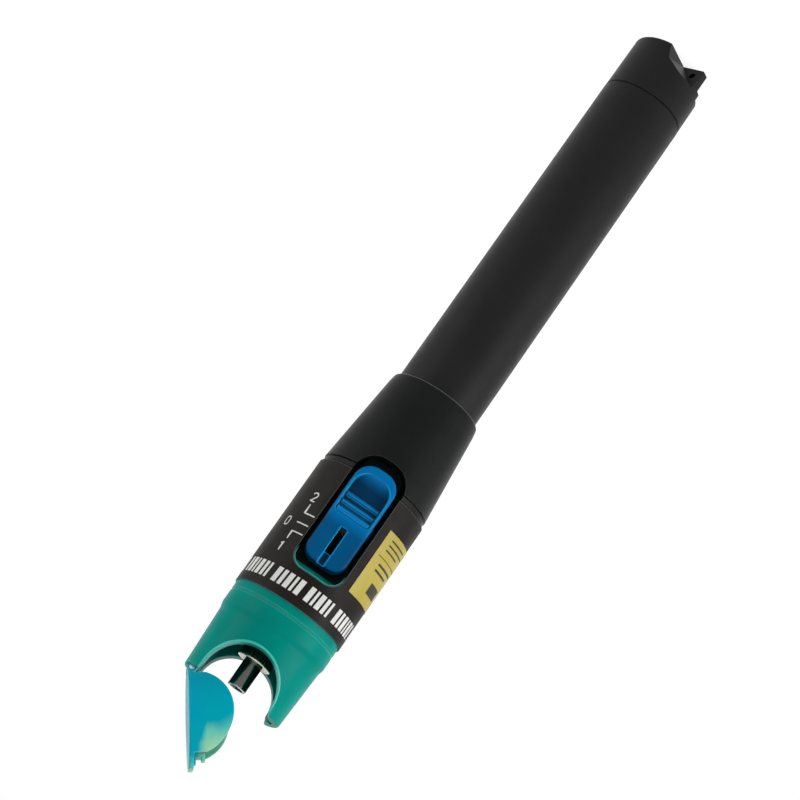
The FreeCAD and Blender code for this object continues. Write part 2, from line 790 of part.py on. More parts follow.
def lever_socket():
    """Walls under the knob's roof that hold the lever, and the room between them."""
    overlap = 4 * seat_gap
    half_x = lever_half_width + socket_wall
    half_z = lever_half_length + socket_wall
    outside = block((-half_x, half_x), (knob_roof_y - overlap, knob_bottom_y - overlap), on_knob((-half_z, half_z)))
    inside_x = lever_half_width + seat_gap
    inside_z = lever_half_length + seat_gap
    room = block((-inside_x, inside_x), (lever_top_y - seat_gap, knob_bottom_y + 1), on_knob((-inside_z, inside_z)))
    return outside, room


def on_knob_brim(edge):
    """Whether an edge runs around the outside of the knob's top face."""
    middle = edge.CenterOfMass
    at_end = middle.z < knob_rear_z + knob_edge or middle.z > knob_front_z - knob_edge
    across = abs(edge.tangentAt(edge.FirstParameter).x) > 0.999
    outside = abs(middle.x) > knob_half_width - knob_corner
    return at_end or (outside and not across)


def switch_knob():
    z = (knob_rear_z, knob_front_z)
    outer_corner = recess_rear_corner - knob_side_gap + slide_gap
    body = rounded_plate(knob_half_width, z, (knob_bottom_y, knob_top_y), outer_corner, knob_corner)
    body = body.cut(knob_pads())
    top = edges_where(body, lambda p: p.y < knob_top_y + pad_drop + 0.01)
    body = body.makeFillet(knob_edge, [edge for edge in top if on_knob_brim(edge)])
    body = body.cut(knob_top_cuts())
    hollow = rounded_plate(knob_inner_x, (z[0] + knob_wall, z[1] - knob_wall), (knob_bottom_y + 1, knob_roof_y),
                           outer_corner - knob_wall, knob_corner - knob_wall)
    body = body.cut(hollow)
    outside, room = lever_socket()
    ribs = [rib.cut(hollow) for rib in knob_ribs()]
    body = body.fuse(ribs + knob_clips() + [outside]).cut(room)
    return body.removeSplitter()


def pin_heights():
    return on_knob((-knob_travel, 0, knob_travel))


def slide_switch_case():
    """Hollow case under the recess floor, with a window for the lever and three pins."""
    top = recess_inner_y + seat_gap
    bottom = board_top_y - seat_gap
    case = block((-case_half_width, case_half_width), (top, bottom), on_knob((-case_half_length, case_half_length)))
    room_x = case_half_width - case_wall
    room_z = case_half_length - case_wall
    room = block((-room_x, room_x), (top + case_wall, bottom - case_wall), on_knob((-room_z, room_z)))
    window_x = lever_half_width + seat_gap
    window = block((-window_x, window_x), (top - 1, top + 1), on_knob((-slot_half_length, slot_half_length)))
    pin_end = board_bottom_y + 2 * pin_r
    pins = [rod_along(Y_AXIS, (0, z), pin_r, bottom - case_wall / 2, pin_end) for z in pin_heights()]
    return case.cut([room, window]).fuse(pins)


def slide_switch_lever():
    floor = board_top_y - seat_gap - case_wall
    slider_top = recess_inner_y + 2 * seat_gap + case_wall
    slider = block((-slider_half_width, slider_half_width), (slider_top, floor - seat_gap),
                   on_knob((-slider_half_length, slider_half_length)))
    stem = block((-lever_half_width, lever_half_width), (lever_top_y, slider_top + seat_gap),
                 on_knob((-lever_half_length, lever_half_length)))
    return slider.fuse(stem).removeSplitter()


# ---------------------------------------------------------------- board
def circuit_board():
    board = block((-board_half_width, board_half_width), (board_top_y, board_bottom_y),
                  (board_rear_z, board_front_z))
    depth = (board_top_y - 1, board_bottom_y + 1)
    holes = [rod_along(Y_AXIS, (0, z), screw_hole_r, *depth) for z in board_screw_z]
    holes += [rod_along(Y_AXIS, (0, z), pin_r + seat_gap, *depth) for z in pin_heights()]
    return board.cut(holes)


def board_screws():
    """Two screws through the board into the housing's posts."""
    screws = []
    head_y = board_bottom_y + seat_gap
    top = head_y + screw_head_height
    narrow = screw_slot_half_width
    long = screw_slot_half_length
    for z in board_screw_z:
        head = rod_along(Y_AXIS, (0, z), screw_head_r, head_y, top)
        shank = rod_along(Y_AXIS, (0, z), screw_shank_r, board_bottom_y - screw_length, head_y + seat_gap)
        slots = [block((-long, long), (top - screw_slot_depth, top + 1), (z - narrow, z + narrow)),
                 block((-narrow, narrow), (top - screw_slot_depth, top + 1), (z - long, z + long))]
        screws.append(head.fuse(shank).cut(slots))
    return Part.makeCompound(screws)


def driver_chip():
    width, height, length = chip_size
    lead_top = board_bottom_y + seat_gap + 2 * chip_leg_half_width
    bottom = board_bottom_y + 3 * seat_gap
    body = block((-width / 2, width / 2), (bottom, bottom + height), (chip_z - length / 2, chip_z + length / 2))
    legs = []
    for side in (-1, 1):
        inner = side * (width / 2 - seat_gap)
        outer = side * (width / 2 + chip_leg_reach)
        for step in (-1.5, -0.5, 0.5, 1.5):
            z = chip_z + step * chip_leg_pitch
            legs.append(block((inner, outer), (board_bottom_y + seat_gap, lead_top),
                              (z - chip_leg_half_width, z + chip_leg_half_width)))
    return body.fuse(legs)


def smoothing_capacitor():
    x, z = capacitor_place
    y = board_bottom_y + seat_gap
    can = rod_along(Y_AXIS, (x, z), capacitor_r, y, y + capacitor_height)
    return can.makeChamfer(chamfer, edges_where(can, lambda p: p.y > y + capacitor_height - 0.01))


# ---------------------------------------------------------------- laser
def laser_diode():
    """Diode can: flange, cap and three leads turned up into the board."""
    flange_front = diode_seat_z + diode_flange_thickness
    shape = disc(diode_flange_r, diode_seat_z, flange_front)
    pieces = [disc(diode_can_r, flange_front - seat_gap, flange_front + diode_can_length)]
    for angle in (-90, 30, 150):
        x = diode_lead_circle_r * math.cos(math.radians(angle))
        y = diode_lead_circle_r * math.sin(math.radians(angle))
        points = [Vector(x, y, diode_seat_z + seat_gap), Vector(x, y, diode_lead_bend_z),
                  Vector(x, board_bottom_y + seat_gap, diode_lead_bend_z)]
        pieces.append(bent_wire(points, diode_lead_r))
    return shape.fuse(pieces).removeSplitter()


def laser_holder():
    """Turned brass holder with seats for the diode's flange and the lens."""
    flange_hole_r = diode_flange_r + seat_gap
    can_hole_r = diode_can_r + seat_gap
    lens_hole_r = lens_r + seat_gap
    seat = diode_seat_z + diode_flange_thickness + seat_gap
    return turned([(flange_hole_r, holder_rear_z), (holder_r - chamfer, holder_rear_z),
                   (holder_r, holder_rear_z + chamfer), (holder_r, holder_front_z - chamfer),
                   (holder_r - chamfer, holder_front_z), (lens_hole_r, holder_front_z),
                   (lens_hole_r, lens_seat_z), (can_hole_r, lens_seat_z), (can_hole_r, seat),
                   (flange_hole_r, seat)])


def focusing_lens():
    """Plano-convex lens with a flat land around its crown."""
    rear = lens_seat_z + seat_gap
    land = rear + lens_edge
    ball_r = (lens_crown_r ** 2 + lens_crown ** 2) / (2 * lens_crown)
    ball = Part.makeSphere(ball_r, Vector(0, 0, land + lens_crown - ball_r))
    crown = ball.common(disc(lens_r, land - seat_gap, land + lens_crown))
    return disc(lens_r, rear, land).fuse(crown)


def lens_ring():
    """Plain ring on the land of the lens."""
    rear = lens_seat_z + 2 * seat_gap + lens_edge
    return ring(lens_r + seat_gap / 2, lens_crown_r + seat_gap, rear, rear + lens_ring_length)


# ---------------------------------------------------------------- ferrule adapter
def adapter_barrel():
    sleeve_hole_r = sleeve_r + sleeve_play
    flange_front = adapter_rear_z + adapter_flange_thickness
    lip = adapter_front_z - adapter_lip
    return turned([(adapter_rear_hole_r, adapter_rear_z), (adapter_flange_r, adapter_rear_z),
                   (adapter_flange_r, flange_front), (adapter_thread_r, flange_front),
                   (adapter_thread_r, adapter_shoulder_z), (adapter_barrel_r, adapter_shoulder_z),
                   (adapter_barrel_r, adapter_front_z - chamfer), (adapter_barrel_r - chamfer, adapter_front_z),
                   (adapter_lip_r + chamfer, adapter_front_z), (adapter_lip_r, adapter_front_z - chamfer),
                   (adapter_lip_r, lip), (sleeve_hole_r, lip),
                   (sleeve_hole_r, sleeve_rear_z - seat_gap), (adapter_rear_hole_r, sleeve_rear_z - seat_gap)])


def knurled_ring():
    """Ring nut with fine flutes and a plain broken edge at each end."""
    rear = bulkhead_front_z + seat_gap
    root_r = knurl_r - knurl_depth
    nut = turned([(adapter_thread_r, rear), (root_r, rear), (knurl_r, rear + knurl_depth),
                  (knurl_r, adapter_shoulder_z - knurl_depth), (root_r, adapter_shoulder_z),
                  (adapter_thread_r, adapter_shoulder_z)])
    half = knurl_share * math.pi * knurl_r / knurl_count
    corners = [Vector(root_r, 0, rear - 1), Vector(knurl_r + seat_gap, -half, rear - 1),
               Vector(knurl_r + seat_gap, half, rear - 1)]
    flute = Part.Face(Part.makePolygon(corners + [corners[0]])).extrude(Vector(0, 0, ring_nut_height + 2))
    flutes = []
    for index in range(knurl_count):
        copy = flute.copy()
        copy.rotate(Vector(0, 0, 0), Z_AXIS, index * 360 / knurl_count)
        flutes.append(copy)
    return nut.cut(flutes)


def split_sleeve():
    sleeve = ring(sleeve_r, ferrule_r, sleeve_rear_z, sleeve_front_z)
    slit = block((-sleeve_slit / 2, sleeve_slit / 2), (0, 2 * sleeve_r), (sleeve_rear_z - 1, sleeve_front_z + 1))
    return sleeve.cut(slit)


# ---------------------------------------------------------------- lid
def apron_face():
    """Outline of an apron of the closed lid, in the XZ plane: steep sides and a round bowl."""
    side_z = lid_top_z - apron_corner
    rear = Vector(apron_half_length, -2 * lid_r, side_z)
    front = Vector(-apron_half_length, -2 * lid_r, side_z)
    bottom = Vector(0, -2 * lid_r, lid_top_z - apron_depth)
    up = Vector(0, 0, apron_corner - lid_thickness / 2)
    edges = [Part.Arc(rear, bottom, front).toShape(), Part.makeLine(front, front + up),
             Part.makeLine(front + up, rear + up), Part.makeLine(rear + up, rear)]
    return Part.Face(Part.Wire(edges))


def lid_plate():
    """Round plate, cut back at the thumb tab and beside the hinge knuckles."""
    plate = turned([(0, lid_under_z), (lid_r, lid_under_z), (lid_r, lid_top_z - lid_edge),
                    (lid_r - lid_edge, lid_top_z), (0, lid_top_z)])
    far = 2 * lid_r
    z = (lid_under_z - 1, lid_top_z + 1)
    plate = plate.cut(block((-far, lid_tab_x), (-far, far), z))
    plate = plate.cut(block((lid_heel_x, far), (-far, far), z))
    for side in (-1, 1):
        plate = plate.cut(block((hinge_wing_x, far), (side * knuckle_outer, side * far), z))
    return plate


def lid_hook():
    """Snap hook, and the short block under the thumb tab."""
    width = (-hook_half_width, hook_half_width)
    under = lid_top_z - lid_thickness / 2
    arm_front = catch_wall_x + hook_gap
    arm_rear = arm_front + hook_thickness
    low = lid_top_z - hook_depth
    arm = block((arm_front, arm_rear), width, (low, under))
    barb = block((catch_wall_x + hook_barb_gap, arm_rear), width, (low, low + hook_barb_height))
    stop = block((catch_wall_x + hook_block_gap, arm_rear), width, (lid_top_z - hook_block_depth, under))
    return [arm, barb, stop]


def dust_lid():
    """Lid built closed, then swung open about its pin."""
    pivot = (lid_pivot_x, lid_pivot_z)
    far = 4 * lid_r
    aprons = apron_face().extrude(Vector(0, far, 0))
    aprons = aprons.common(ring(lid_r, lid_r - lid_wall, lid_top_z - 2 * apron_depth, lid_top_z - lid_thickness / 2))
    knuckles = rod_along(Y_AXIS, pivot, knuckle_r, -knuckle_outer, knuckle_outer)
    lid = lid_plate().fuse([aprons, knuckles] + lid_hook())
    gap_start = lid_pivot_x - knuckle_clearance_r - 2 * seat_gap
    gap = block((gap_start, far), (-knuckle_inner, knuckle_inner), (lid_pivot_z - 2 * knuckle_r, lid_top_z + 1))
    pin_hole = rod_along(Y_AXIS, pivot, hinge_pin_r + running_gap, -far, far)
    lid = lid.cut([gap, pin_hole]).removeSplitter()
    lid.rotate(Vector(lid_pivot_x, 0, lid_pivot_z), Y_AXIS, lid_opening)
    return lid


def hinge_pin():
    return rod_along(Y_AXIS, (lid_pivot_x, lid_pivot_z), hinge_pin_r, -knuckle_outer, knuckle_outer)


# ---------------------------------------------------------------- all nodes
tail_nodes = [tail_cap, tail_spring_plate, tail_spring, battery_tube, rear_cell, front_cell]
head_nodes = [front_contact_spring, contact_disc, ground_strip, rear_collar, front_housing,
              label_wrap, side_sticker, switch_knob, slide_switch_case, slide_switch_lever,
              circuit_board, board_screws, driver_chip, smoothing_capacitor, laser_diode,
              laser_holder, focusing_lens, lens_ring, adapter_barrel, knurled_ring,
              split_sleeve, dust_lid, hinge_pin]

for make in tail_nodes + head_nodes:
    shape = make()
    if make in head_nodes:
        shape.translate(Vector(0, 0, cells_front_z))
    name = make.__name__
    solids = len(shape.Solids)
    print(f"{name}: {solids} solid(s), {shape.Volume:.1f} mm3, valid {shape.isValid()}")
    shape.exportStep(f"parts/{name}.step")
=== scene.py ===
import math

import bmesh
import bpy
from mathutils import Matrix, Vector


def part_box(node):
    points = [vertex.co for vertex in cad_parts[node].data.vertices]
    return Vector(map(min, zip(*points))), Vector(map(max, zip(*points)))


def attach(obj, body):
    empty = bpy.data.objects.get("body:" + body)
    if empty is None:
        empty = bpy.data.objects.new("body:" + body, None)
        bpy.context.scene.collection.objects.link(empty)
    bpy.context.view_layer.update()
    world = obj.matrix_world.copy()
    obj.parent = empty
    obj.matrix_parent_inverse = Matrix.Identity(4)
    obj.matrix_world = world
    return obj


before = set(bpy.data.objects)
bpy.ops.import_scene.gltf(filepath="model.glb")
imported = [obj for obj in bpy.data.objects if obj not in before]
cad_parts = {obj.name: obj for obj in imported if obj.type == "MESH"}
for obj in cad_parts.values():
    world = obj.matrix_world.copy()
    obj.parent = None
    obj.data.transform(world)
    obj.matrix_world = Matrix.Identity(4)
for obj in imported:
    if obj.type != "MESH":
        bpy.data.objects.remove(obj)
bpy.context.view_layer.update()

MM = 0.001

# Places are in object coordinates: the tail end lies at z = 0, the nose points to +Z and the knob faces -Y.


# ---------------------------------------------------------------- materials
NOISE_LOW, NOISE_HIGH = 0.3, 0.7  # a noise's values lie mostly between these
EDGE_BENT, EDGE_FLAT = 0.8, 0.995  # cosine between the bevelled and the real surface, on an edge and off it
HOLLOW_CLOSED, HOLLOW_OPEN = 0.25, 0.85  # share of open sky in a hollow and on an open face
GRAIN_DEPTH = 0.02 * MM
CLOUDS, SMUDGES, STREAKS = 140, 420, 900  # noise scales of plastic's colour and gloss, and of metal


class Nodes:
    """A material's node tree with a Principled shader, built up by name."""

    MIX_FIRST, MIX_SECOND, MIX_RESULT = 6, 7, 2  # the colour sockets of a Mix node

    def __init__(self, name):
        self.material = bpy.data.materials.new(name)
        self.material.use_nodes = True
        self.tree = self.material.node_tree
        self.shader = self.tree.nodes["Principled BSDF"]
        self.coords = self.add("ShaderNodeTexCoord")

    def add(self, kind, **settings):
        node = self.tree.nodes.new(kind)
        for key, value in settings.items():
            setattr(node, key, value)
        return node

    def link(self, out, into):
        self.tree.links.new(out, into)

    def set(self, **values):
        """Sets the shader's own sockets; an underscore stands for a space."""
        for key, value in values.items():
            self.shader.inputs[key.replace("_", " ")].default_value = value

    def base(self, change):
        """Passes the shader's linked base colour through a function."""
        socket = self.shader.inputs["Base Color"]
        self.link(change(socket.links[0].from_socket), socket)

    # Patterns and places
    def noise(self, scale, detail=4.0, stretch=(1, 1, 1)):
        """Noise in object coordinates; scale is in features a metre."""
        mapping = self.add("ShaderNodeMapping")
        mapping.inputs["Scale"].default_value = stretch
        self.link(self.coords.outputs["Object"], mapping.inputs["Vector"])
        texture = self.add("ShaderNodeTexNoise")
        texture.inputs["Scale"].default_value = scale
        texture.inputs["Detail"].default_value = detail
        self.link(mapping.outputs["Vector"], texture.inputs["Vector"])
        return texture.outputs["Fac"]

    def place(self, axis):
        """One object coordinate, "X", "Y" or "Z", in metres."""
        node = self.add("ShaderNodeSeparateXYZ")
        self.link(self.coords.outputs["Object"], node.inputs["Vector"])
        return node.outputs[axis]

    def along(self, direction, origin):
        """Distance from an origin along a direction, in metres."""
        apart = self.add("ShaderNodeVectorMath", operation="SUBTRACT")
        self.link(self.coords.outputs["Object"], apart.inputs[0])
        apart.inputs[1].default_value = origin
        dot = self.add("ShaderNodeVectorMath", operation="DOT_PRODUCT")
        self.link(apart.outputs["Vector"], dot.inputs[0])
        dot.inputs[1].default_value = direction
        return dot.outputs["Value"]

    def on_edges(self, radius):
        """0 on flat faces, 1 within a radius of an edge."""
        bevel = self.add("ShaderNodeBevel", samples=8)
        bevel.inputs["Radius"].default_value = radius
        surface = self.add("ShaderNodeNewGeometry")
        dot = self.add("ShaderNodeVectorMath", operation="DOT_PRODUCT")
        self.link(bevel.outputs["Normal"], dot.inputs[0])
        self.link(surface.outputs["Normal"], dot.inputs[1])
        return self.spread(dot.outputs["Value"], 1.0, 0.0, EDGE_BENT, EDGE_FLAT)

    def shade_in_hollows(self, distance, dark):
        """1 on open faces, falling to a share in hollow places: painted shade that darkens them the way
        blocked light would.
        """
        node = self.add("ShaderNodeAmbientOcclusion", samples=8, only_local=True)
        node.inputs["Distance"].default_value = distance
        return self.spread(node.outputs["AO"], dark, 1.0, HOLLOW_CLOSED, HOLLOW_OPEN)

    # Numbers and colours
    def maths(self, operation, first, second):
        node = self.add("ShaderNodeMath", operation=operation)
        for index, value in enumerate((first, second)):
            if isinstance(value, (int, float)):
                node.inputs[index].default_value = value
            else:
                self.link(value, node.inputs[index])
        return node.outputs[0]

    def both(self, first, second):
        """Product of two masks."""
        return self.maths("MULTIPLY", first, second)

    def between(self, value, low, high):
        """1 where a value lies between two limits, 0 elsewhere."""
        return self.both(self.maths("GREATER_THAN", value, low), self.maths("LESS_THAN", value, high))

    def spread(self, source, low, high, start=NOISE_LOW, end=NOISE_HIGH):
        """Goes from low to high while the source goes from start to end, and stays there beyond."""
        node = self.add("ShaderNodeMapRange")
        node.inputs["From Min"].default_value = start
        node.inputs["From Max"].default_value = end
        node.inputs["To Min"].default_value = low
        node.inputs["To Max"].default_value = high
        self.link(source, node.inputs["Value"])
        return node.outputs["Result"]

    def ramp(self, source, stops):
        """Colour ramp over (position, colour) stops."""
        node = self.add("ShaderNodeValToRGB")
        elements = node.color_ramp.elements
        while len(elements) > 1:
            elements.remove(elements[-1])
        elements[0].position, elements[0].color = stops[0][0], rgba(stops[0][1])
        for place, colour in stops[1:]:
            elements.new(place).color = rgba(colour)
        self.link(source, node.inputs["Fac"])
        return node.outputs["Color"]

    def clouded(self, source, colour, variation):
        """A colour that goes from a darker to a lighter shade with a noise."""
        return self.ramp(source, [(NOISE_LOW, shaded(colour, 1 - variation)),
                                  (NOISE_HIGH, shaded(colour, 1 + variation))])

    def mix(self, factor, first, second):
        """First colour where the factor is 0, second where it is 1."""
        node = self.add("ShaderNodeMix", data_type="RGBA")
        self.link(factor, node.inputs["Factor"])
        for socket, value in ((self.MIX_FIRST, first), (self.MIX_SECOND, second)):
            if isinstance(value, tuple):
                node.inputs[socket].default_value = rgba(value)
            else:
                self.link(value, node.inputs[socket])
        return node.outputs[self.MIX_RESULT]

    def times(self, colour, factor):
        """A colour made darker by a factor."""
        node = self.add("ShaderNodeVectorMath", operation="SCALE")
        self.link(colour, node.inputs[0])
        self.link(factor, node.inputs["Scale"])
        return node.outputs[0]

    # Surface
    def paint(self, mask, colour):
        """Lays a colour over the base colour where a mask is 1."""
        self.base(lambda under: self.mix(mask, under, colour))

    def darken(self, factor):
        self.base(lambda under: self.times(under, factor))

    def soften_edges(self, radius):
        """Rounds sharp edges in the shading, as a mould's worn corners do."""
        node = self.add("ShaderNodeBevel", samples=4)
        node.inputs["Radius"].default_value = radius
        self.link(node.outputs["Normal"], self.shader.inputs["Normal"])

    def bump(self, source, strength):
        """Fine relief on top of the softened edges."""
        node = self.add("ShaderNodeBump")
        node.inputs["Strength"].default_value = strength
        node.inputs["Distance"].default_value = GRAIN_DEPTH
        self.link(source, node.inputs["Height"])
        if self.shader.inputs["Normal"].is_linked:
            self.link(self.shader.inputs["Normal"].links[0].from_socket, node.inputs["Normal"])
        self.link(node.outputs["Normal"], self.shader.inputs["Normal"])


def rgba(colour):
    return tuple(colour) + (1.0,)


def srgb(red, green, blue):
    """Linear colour from 0..255 screen values."""
    def linear(value):
        value /= 255
        return value / 12.92 if value <= 0.04045 else ((value + 0.055) / 1.055) ** 2.4
    return (linear(red), linear(green), linear(blue))


def shaded(colour, factor):
    return tuple(min(1.0, channel * factor) for channel in colour)


def moulded(name, colour, roughness=0.35, variation=0.12, grain=0.15, grain_scale=9000, gloss=0.3, edge=0.0):
    """Moulded plastic, film or lacquer: slightly cloudy colour, uneven gloss and a fine grain."""
    nodes = Nodes(name)
    if edge:
        nodes.soften_edges(edge)
    nodes.link(nodes.clouded(nodes.noise(CLOUDS, 5), colour, variation), nodes.shader.inputs["Base Color"])
    nodes.link(nodes.spread(nodes.noise(SMUDGES, 6), roughness * 0.88, roughness * 1.12),
               nodes.shader.inputs["Roughness"])
    nodes.bump(nodes.noise(grain_scale, 2), grain)
    nodes.set(IOR=1.47, Specular_IOR_Level=gloss)
    return nodes


def metal(name, colour, roughness=0.25, brushed=(1, 1, 1), worn=None):
    """Metal with brushed streaks, and a bare colour along its edges where the plating is worn."""
    nodes = Nodes(name)
    streaks = nodes.noise(STREAKS, 6, brushed)
    nodes.link(nodes.clouded(streaks, colour, 0.15), nodes.shader.inputs["Base Color"])
    nodes.link(nodes.spread(nodes.noise(STREAKS * 1.7, 4, brushed), roughness * 0.75, roughness * 1.3),
               nodes.shader.inputs["Roughness"])
    nodes.set(Metallic=1.0)
    nodes.bump(streaks, 0.12)
    if worn:
        nodes.paint(nodes.on_edges(0.2 * MM), worn)
    return nodes.material


def black_collar():
    """Black moulding with a painted highlight along its edges and on its rear rim."""
    nodes = moulded("black_moulding", srgb(14, 15, 15), roughness=0.38, variation=0.15, grain_scale=6000,
                    gloss=0.1, edge=0.2 * MM)
    # Painted highlight along the edges.
    nodes.paint(nodes.on_edges(0.2 * MM), srgb(70, 70, 68))
    # Painted highlight on the rear rim: a band just above the collar's rear end.
    rim_width = 0.32 * MM
    rim = nodes.maths("LESS_THAN", nodes.place("Z"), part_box("rear_collar")[0][2] + rim_width)
    nodes.paint(rim, srgb(92, 92, 89))
    return nodes.material


def label_film():
    """Dull black film with a painted highlight along its cut edges."""
    nodes = moulded("label_film", srgb(22, 19, 17), roughness=0.48, variation=0.2, grain=0.08,
                    grain_scale=2500, gloss=0.1, edge=0.15 * MM)
    # Painted highlight along the film's cut edges.
    nodes.paint(nodes.on_edges(0.3 * MM), srgb(104, 102, 97))
    return nodes.material


def teal_plastic():
    """Satin teal with a painted highlight along its edges, and painted shade blackening the switch recess but
    for its front end.
    """
    nodes = moulded("teal_moulding", srgb(0, 134, 123), roughness=0.34, variation=0.06, grain=0.05,
                    grain_scale=2500, gloss=0.03, edge=0.4 * MM)
    nodes.set(Subsurface_Weight=0.7, Subsurface_Scale=4 * MM, Subsurface_Radius=(0.1, 1.0, 0.85))
    # Painted shade: the recess's walls and floor are painted near black, fading back to teal towards the
    # recess's front end.
    half_width, floor_depth = 6.3 * MM, 10.5 * MM
    rear_z, front_z = 117.8 * MM, 148.0 * MM
    walls_fade = (143.6 * MM, 144.8 * MM)
    floor_fade = (146.1 * MM, 146.5 * MM)
    across, depth, height = nodes.place("X"), nodes.place("Y"), nodes.place("Z")
    outline = nodes.both(nodes.between(across, -half_width, half_width),
                         nodes.between(height, rear_z, front_z))
    walls = nodes.spread(height, 1.0, 0.0, *walls_fade)
    floor = nodes.both(nodes.between(depth, -floor_depth, 0.0), nodes.spread(height, 1.0, 0.0, *floor_fade))
    recess = nodes.both(nodes.both(outline, nodes.maths("MAXIMUM", walls, floor)),
                        nodes.maths("LESS_THAN", depth, 0.0))
    # Painted highlight along the edges.
    nodes.paint(nodes.on_edges(0.35 * MM), srgb(96, 206, 190))
    # Painted shade in the switch recess.
    nodes.paint(recess, srgb(1, 12, 10))
    return nodes.material


def blue_plastic():
    """Satin blue with painted highlights along rims and on the rib crests, and painted shade that grows with
    depth below the knob's top, as in the thumb dish, and in hollow places.
    """
    nodes = moulded("blue_moulding", srgb(0, 104, 164), roughness=0.25, variation=0.06, grain=0.04,
                    grain_scale=2500, gloss=0.05, edge=0.25 * MM)
    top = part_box("switch_knob")[0][1]
    dish_shade, hollow_shade = 0.22, 0.6
    # Painted shade: darker the deeper a surface lies below the knob's top.
    nodes.darken(nodes.spread(nodes.place("Y"), 1.0, dish_shade, top + 0.05 * MM, top + 1.2 * MM))
    # Painted shade in hollow places.
    nodes.darken(nodes.shade_in_hollows(4 * MM, hollow_shade))
    rib_half_length, crest_half_width = 3.85, 0.28
    across = nodes.between(nodes.place("X"), -rib_half_length * MM, rib_half_length * MM)
    # Painted highlight on the rib crests.
    for rib in (129.05, 130.95, 132.75):
        crest_highlight = nodes.between(nodes.place("Z"), (rib - crest_half_width) * MM, (rib + crest_half_width) * MM)
        nodes.paint(nodes.both(across, crest_highlight), srgb(10, 118, 180))
    # Painted highlight along the rims.
    nodes.paint(nodes.on_edges(0.6 * MM), srgb(24, 166, 232))
    return nodes.material


def lid_plastic():
    """Turquoise at the lid's plate, turning pale green towards its free end; painted light makes its far side
    paler, and a painted highlight runs along its edges.
    """
    nodes = Nodes("lid_moulding")
    pivot = (9.9 * MM, 0.0, 176.1 * MM)
    tilt = math.radians(54)
    length = 21 * MM
    outward = nodes.along((-math.cos(tilt), 0.0, math.sin(tilt)), pivot)
    inward = nodes.along((-math.sin(tilt), 0.0, -math.cos(tilt)), pivot)
    share = nodes.maths("DIVIDE", outward, length)
    plate = nodes.spread(inward, -0.3, 0.0, 0.3 * MM, 2.6 * MM)
    bowl = nodes.spread(inward, 0.0, 0.08, 1.5 * MM, 8.0 * MM)
    # Painted light: paler towards the far (+Y) side, lifting the shade on the far apron.
    far = nodes.spread(nodes.place("Y"), 0.0, 0.3, 0.0, 3.0 * MM)
    clouds = nodes.spread(nodes.noise(160), -0.06, 0.06)
    for part in (plate, bowl, far, clouds):
        share = nodes.maths("ADD", share, part)
    nodes.link(nodes.ramp(share, [(0.1, srgb(0, 154, 178)), (0.58, srgb(0, 158, 176)),
                                  (0.72, srgb(110, 196, 176)), (0.86, srgb(152, 208, 172))]),
               nodes.shader.inputs["Base Color"])
    nodes.link(nodes.spread(nodes.noise(500), 0.26, 0.34), nodes.shader.inputs["Roughness"])
    nodes.soften_edges(0.25 * MM)
    # Painted highlight along the edges.
    nodes.paint(nodes.on_edges(0.2 * MM), srgb(70, 178, 160))
    nodes.set(IOR=1.45, Specular_IOR_Level=0.04, Subsurface_Weight=0.35, Subsurface_Scale=3 * MM,
              Subsurface_Radius=(0.1, 0.9, 1.0))
    return nodes.material


def glass():
    nodes = Nodes("lens_glass")
    tint = nodes.ramp(nodes.noise(300, 3), [(NOISE_LOW, (0.9, 0.95, 0.96)), (NOISE_HIGH, (0.96, 0.98, 1.0))])
    nodes.link(tint, nodes.shader.inputs["Base Color"])
    nodes.link(nodes.spread(nodes.noise(900, 3), 0.02, 0.05), nodes.shader.inputs["Roughness"])
    nodes.set(Transmission_Weight=1.0, IOR=1.52)
    return nodes.material


def print_ink(name, colour):
    return moulded(name, colour, roughness=0.5, variation=0.08, grain=0.05, grain_scale=5000).material


ALONG_Z, ROUND_Z = (1, 1, 0.15), (0.2, 0.2, 1)  # stretch of a metal's streaks

materials = {
    "black_lacquer": moulded("black_lacquer", srgb(18, 19, 18), roughness=0.42, variation=0.15, grain=0.1,
                             grain_scale=7000, gloss=0.14).material,
    "black_moulding": black_collar(),
    "label_film": label_film(),
    "teal": teal_plastic(),
    # Painted highlight: the saddle bead is a paler, glossier copy of the teal moulding.
    "bead": moulded("teal_bead_highlight", srgb(40, 178, 162), roughness=0.22, variation=0.05, grain=0.03,
                    gloss=0.4).material,
    "blue": blue_plastic(),
    "lid": lid_plastic(),
    "yellow": moulded("yellow_film", srgb(172, 156, 62), roughness=0.4, variation=0.06, grain=0.05,
                      grain_scale=3000).material,
    "nickel": metal("dark_nickel", (0.1, 0.11, 0.1), roughness=0.16, brushed=ALONG_Z, worn=(0.8, 0.74, 0.58)),
    "bare_edge": metal("bare_edge", (0.82, 0.76, 0.6), roughness=0.3, brushed=ALONG_Z),
    "steel": metal("spring_steel", (0.62, 0.62, 0.64)),
    "brass": metal("turned_brass", (0.72, 0.52, 0.25), roughness=0.28, brushed=ROUND_Z),
    "cell": metal("cell_can", (0.45, 0.45, 0.47), roughness=0.35, brushed=(1, 1, 0.1)),
    "black_plastic": moulded("black_plastic", srgb(28, 28, 28), roughness=0.5).material,
    "ceramic": moulded("ground_ceramic", srgb(238, 238, 232), roughness=0.22, variation=0.03,
                       grain=0.03).material,
    "glass": glass(),
    "board": moulded("board_resin", srgb(24, 92, 52), roughness=0.4, grain=0.1).material,
    "white_ink": print_ink("white_ink", srgb(212, 212, 208)),
    "dark_ink": print_ink("dark_ink", srgb(40, 36, 26)),
}

